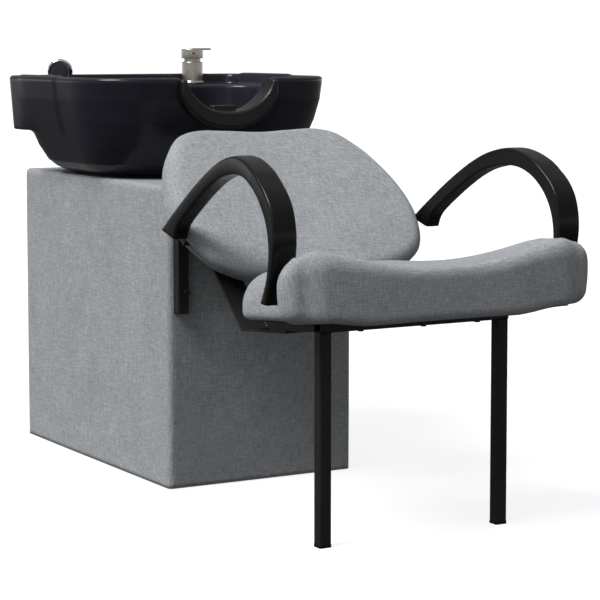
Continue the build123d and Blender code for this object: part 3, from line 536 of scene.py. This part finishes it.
def neck_field(x, y, z):
    f = rint(neck_outline(x, z), np.abs(y - 127) - 26, 8)
    pad = np.hypot(np.maximum(np.abs(x) - 22, 0), np.maximum(np.abs(z - 704) - 4, 0)) - 3
    return runi(f, rint(pad, np.abs(y - 141) - 10, 3), 3)


V, Q = nets(neck_field, (-116, 92, 655), (116, 162, 772), 2.4)
neck = piece("neck_rest_rubber", V, Q, M["rubber"], replaces=("neck_rest",))

# ------------------------------------------------------------------ armrests
OUT = [(-151, 504), (-190, 530), (-243, 564), (-289, 591), (-335, 615), (-381, 634), (-427, 645), (-460, 647),
       (-493, 641), (-528, 627), (-552, 611), (-573, 594), (-590, 572), (-599, 547), (-602, 523), (-600, 498),
       (-593, 466), (-582, 434), (-575, 414)]
INN = [(-203, 489), (-218, 515), (-272, 551), (-313, 575), (-349, 593), (-388, 607), (-434, 615), (-470, 615),
       (-498, 609), (-524, 597), (-546, 580), (-563, 560), (-574, 540), (-580, 519), (-582, 495),
       (-577, 462), (-567, 436), (-556, 416)]


def resample(c, n):
    s = np.r_[0, np.cumsum(np.hypot(*np.diff(c, axis=0).T))]
    t = np.linspace(0, s[-1], n)
    return np.stack([np.interp(t, s, c[:, i]) for i in range(2)], 1)


def armrest(side, name, replaces):
    o = catmull(OUT, 12)
    i = catmull(INN, 12)
    ko = int(np.argmin(np.hypot(o[:, 0] + 476, o[:, 1] - 645)))
    ki = int(np.argmin(np.hypot(i[:, 0] + 472, i[:, 1] - 616)))
    n1, n2 = 56, 64
    O = np.concatenate([resample(o[:ko + 1], n1)[:-1], resample(o[ko:], n2)])
    I = np.concatenate([resample(i[:ki + 1], n1)[:-1], resample(i[ki:], n2)])
    n = len(O)
    u = np.linspace(0, 1, n)
    C = (O + I) / 2
    y = C[:, 0]
    # width across and its centre: narrow bar at the rear, wide blade at the front
    w = np.interp(-y, [150, 250, 350, 430, 480, 520, 560, 600], [14.5, 15, 16, 18, 20, 21.5, 22, 22.2])
    cx = np.interp(-y, [150, 250, 350, 430, 480, 520, 560, 600], [264, 265.5, 268, 272, 275.5, 278.5, 280.5, 280.7])
    k = 40
    a = np.linspace(0, 2 * np.pi, k, endpoint=False)
    e = 0.27
    ca, sa = np.sign(np.cos(a)) * np.abs(np.cos(a)) ** e, np.sign(np.sin(a)) * np.abs(np.sin(a)) ** e
    V = []
    D = (O - I)
    for j in range(n):
        X = cx[j] + w[j] * ca
        # a rounded square section spread over the width across and the span from inner to outer edge
        YZ = C[j] + 0.5 * D[j] * sa[:, None]
        V.append(np.stack([side * X, YZ[:, 0], YZ[:, 1]], 1))
    T = np.gradient(C, axis=0)
    T /= np.linalg.norm(T, axis=1)[:, None]

    def cap(j, sgn):
        """Closed rim with a round hollow at one end."""
        t = np.array([0, *(T[j] * sgn)])
        c = np.array([side * cx[j], *C[j]])
        base = V[j]
        rings = []
        for sc, dep in ((0.93, 1.2), (0.80, 1.6), (0.62, 1.4), (0.58, 0.2), (0.56, -12.0), (0.2, -12.5)):
            rr = base * sc + c * (1 - sc)
            if sc < 0.75:
                rad = min(np.linalg.norm(D[j]) / 2, w[j]) * sc
                d = base - c
                d = d / np.linalg.norm(d, axis=1)[:, None]
                rr = c + d * rad
            rings.append(rr + t * dep)
        return rings
    head = cap(0, -1)[::-1]
    tail = cap(n - 1, 1)
    R = head + V + tail
    F = []
    for j in range(len(R) - 1):
        for q in range(k):
            q2 = (q + 1) % k
            f = (j * k + q, j * k + q2, (j + 1) * k + q2, (j + 1) * k + q)
            F.append(f if side < 0 else f[::-1])
    first, last = tuple(range(k)), tuple((len(R) - 1) * k + q for q in range(k))
    F.append(first[::-1] if side < 0 else first)
    F.append(last if side < 0 else last[::-1])
    ob = piece(name, np.concatenate(R), F, M["black_plastic"], replaces=replaces)
    return ob


arm_l = armrest(-1, "arm_left", ("armrest_left",))
arm_r = armrest(1, "arm_right", ("armrest_right",))

# ------------------------------------------------------------------ tap
TX, TY = 140.0, 542.0
V, F = lathe(soften([(17.0, 745.0), (25.5, 745.0), (25.5, 748.2), (22.6, 750.0), (22.0, 751.0), (22.0, 790.2),
                     (21.2, 791.0), (17.5, 791.0), (17.5, 798.9), (6.2, 798.9)], 0.7), (TX, TY, 0))
tap_body = piece("tap_column", V, F, M["nickel"], replaces=("tap_body", "tap_flange"))
V, F = lathe(soften([(0.5, 812.5), (20.8, 812.5), (20.8, 798.6), (23.0, 798.6), (23.0, 817.2), (22.2, 818.0),
                     (0.5, 818.0)], 0.6), (TX, TY, 0))
cap_v, cap_f = V, F
# thin lever: a flat slot form with eased edges
ang = np.linspace(0, 2 * np.pi, 48, endpoint=False)
rings = []
for sc, z in ((0.0, 816.6), (-0.5, 816.2), (0.0, 816.6), (0.0, 819.4), (-0.6, 819.95), (-5.0, 820.0)):
    r = 6 + sc
    x = np.where(np.cos(ang) > 0, 38, 0) + r * np.cos(ang)
    rings.append(np.stack([TX + x, TY + r * np.sin(ang), np.full(48, z)], 1))
rings = rings[1:]
lv = np.concatenate(rings)
lf = [(i * 48 + j, i * 48 + (j + 1) % 48, (i + 1) * 48 + (j + 1) % 48, (i + 1) * 48 + j)
      for i in range(len(rings) - 1) for j in range(48)]
lf += [tuple(range(48))[::-1], tuple((len(rings) - 1) * 48 + j for j in range(48))]
off = len(cap_v)
tap_cap = piece("tap_lever_cap", np.concatenate([cap_v, lv]), list(cap_f) + [tuple(i + off for i in f) for f in lf],
                M["nickel"], body="tap_lever", replaces=("tap_handle",))

# ------------------------------------------------------------------ hand shower
SX, SY = -172.0, 546.0
HC = np.array([SX + 4, SY - 10, 774.5])
HN = np.array([-0.46, -0.86, -0.22])
HN /= np.linalg.norm(HN)


def shower_field(x, y, z):
    grip = rint(np.hypot(x - SX, y - SY) - 11.95, 682.2 - z, 1.5)
    grip = np.maximum(grip, z - 765)
    px, py, pz = x - HC[0], y - HC[1], z - HC[2]
    t = px * HN[0] + py * HN[1] + pz * HN[2]
    r = np.sqrt(np.maximum(px * px + py * py + pz * pz - t * t, 0))
    head = r - np.interp(t, [-18, -10, 0, 4], [17, 21.5, 23.8, 24.2])
    head = rint(head, -16.5 - t, 9)
    head = np.maximum(head, t - 4.2)
    neck_ = np.hypot(x - SX, y - (SY - 1)) - np.interp(z, [750, 778], [12, 16])
    neck_ = np.maximum(np.maximum(neck_, z - 778), 745 - z)
    f = runi(runi(grip, np.maximum(neck_, t - 2), 3), head, 6)
    return np.maximum(f, t - 4.2)


V, Q = nets(shower_field, (SX - 34, SY - 42, 676), (SX + 34, SY + 26, 806), 2.0)
shower = piece("shower_head", V, Q, M["chrome"], body="hand_shower", replaces=("spray_body",))
c = HC + HN * 4.0
V, F = lathe(soften([(18.6, 0.0), (25.6, 0.0), (25.6, 3.6), (23.4, 6.0), (20.0, 6.4), (18.6, 5.2), (18.6, 0.2)], 0.9),
             c, axis=HN)
F = F[:-2]
ring_o = piece("shower_ring", V, F, M["chrome"], body="hand_shower", replaces=("spray_ring",))
V, F = lathe(soften([(0.5, 0.0), (18.5, 0.0), (18.5, 4.0), (17.8, 4.4), (0.5, 4.9)], 0.4), c, axis=HN)
face = piece("shower_face", V, F, SPRAY, body="hand_shower",
             replaces=("spray_face",))
R = np.array(Vector((0, 0, 1)).rotation_difference(Vector(HN)).to_matrix())
nv, nf = [], []
for rad, cnt in ((15.2, 22), (11.6, 17), (8.0, 12), (4.4, 6), (0.0, 1)):
    for q in range(cnt):
        t = 2 * math.pi * q / cnt
        V, F = lathe([(1.1, 4.2), (1.0, 5.9), (0.7, 6.3)], (0, 0, 0), seg=10)
        V = (V + np.array([rad * math.cos(t), rad * math.sin(t), 0])) @ R.T + c
        nf += [tuple(i + sum(len(v) for v in nv) for i in f) for f in F]
        nv.append(V)
nozzles = piece("shower_nozzles", np.concatenate(nv), nf, M["rubber"], body="hand_shower")

# ------------------------------------------------------------------ stage
floor_m, nt, b = material("pale_floor")
b.inputs["Base Color"].default_value = (0.24, 0.24, 0.24, 1)
b.inputs["Roughness"].default_value = 0.9
b.inputs["Specular IOR Level"].default_value = 0.0
b.inputs["Emission Color"].default_value = (1, 1, 1, 1)
b.inputs["Emission Strength"].default_value = 0.84
bpy.ops.mesh.primitive_plane_add(size=60, location=(0, 0, 0))
floor = bpy.context.object
floor.name = "floor"
floor.data.materials.append(floor_m)
# the floor is seen but does not throw its own brightness back at the object
floor.visible_diffuse = False
floor.visible_glossy = False
world = bpy.data.worlds.new("studio")
bpy.context.scene.world = world
bpy.context.scene.view_settings.view_transform = "Standard"
world.use_nodes = True
nt = world.node_tree
bg = nt.nodes["Background"]
# white at the horizon, dimmer overhead like a studio
tc = nt.nodes.new("ShaderNodeTexCoord")
sp = nt.nodes.new("ShaderNodeSeparateXYZ")
nt.links.new(tc.outputs["Generated"], sp.inputs[0])
half = mth(nt, "MULTIPLY_ADD", sp.outputs["Z"], 0.5, 0.5)
nt.links.new(ramp(nt, half, [(0.0, (0.10, 0.10, 0.10)), (0.468, (0.12, 0.12, 0.12)), (0.481, (1.05, 1.05, 1.05)),
                             (0.518, (1.05, 1.05, 1.05)), (0.54, (0.17, 0.17, 0.175)), (1.0, (0.56, 0.56, 0.57))]),
             bg.inputs["Color"])
bg.inputs["Strength"].default_value = 1.0


def area(name, loc, target, size, power):
    L = bpy.data.lights.new(name, "AREA")
    L.shape = "RECTANGLE"
    L.size, L.size_y = size
    L.energy = power
    o = bpy.data.objects.new(name, L)
    o.location = loc
    o.rotation_mode = "QUATERNION"
    o.rotation_quaternion = (Vector(target) - Vector(loc)).to_track_quat("-Z", "Y")
    bpy.context.scene.collection.objects.link(o)


sun = bpy.data.lights.new("softbox", "SUN")
sun.energy = 4.0
sun.angle = math.radians(28)
so = bpy.data.objects.new("softbox", sun)
so.rotation_mode = "QUATERNION"
so.rotation_quaternion = Vector((0.60, 0.06, -0.78)).to_track_quat("-Z", "Y")
bpy.context.scene.collection.objects.link(so)
area("strip", (-2.6, -2.2, 2.6), (0, -0.2, 0.5), (0.7, 2.0), 8)

cam = bpy.data.cameras.new("camera")
cam.lens = 128.68
cam.sensor_width = 36
cam.shift_y = -0.1
cam.clip_end = 100
co = bpy.data.objects.new("camera", cam)
co.location = (-1.95416, -3.55049, 0.83396)
co.rotation_euler = (math.radians(90 - 5.286), 0, -math.radians(29.965))
bpy.context.scene.collection.objects.link(co)
bpy.context.scene.camera = co
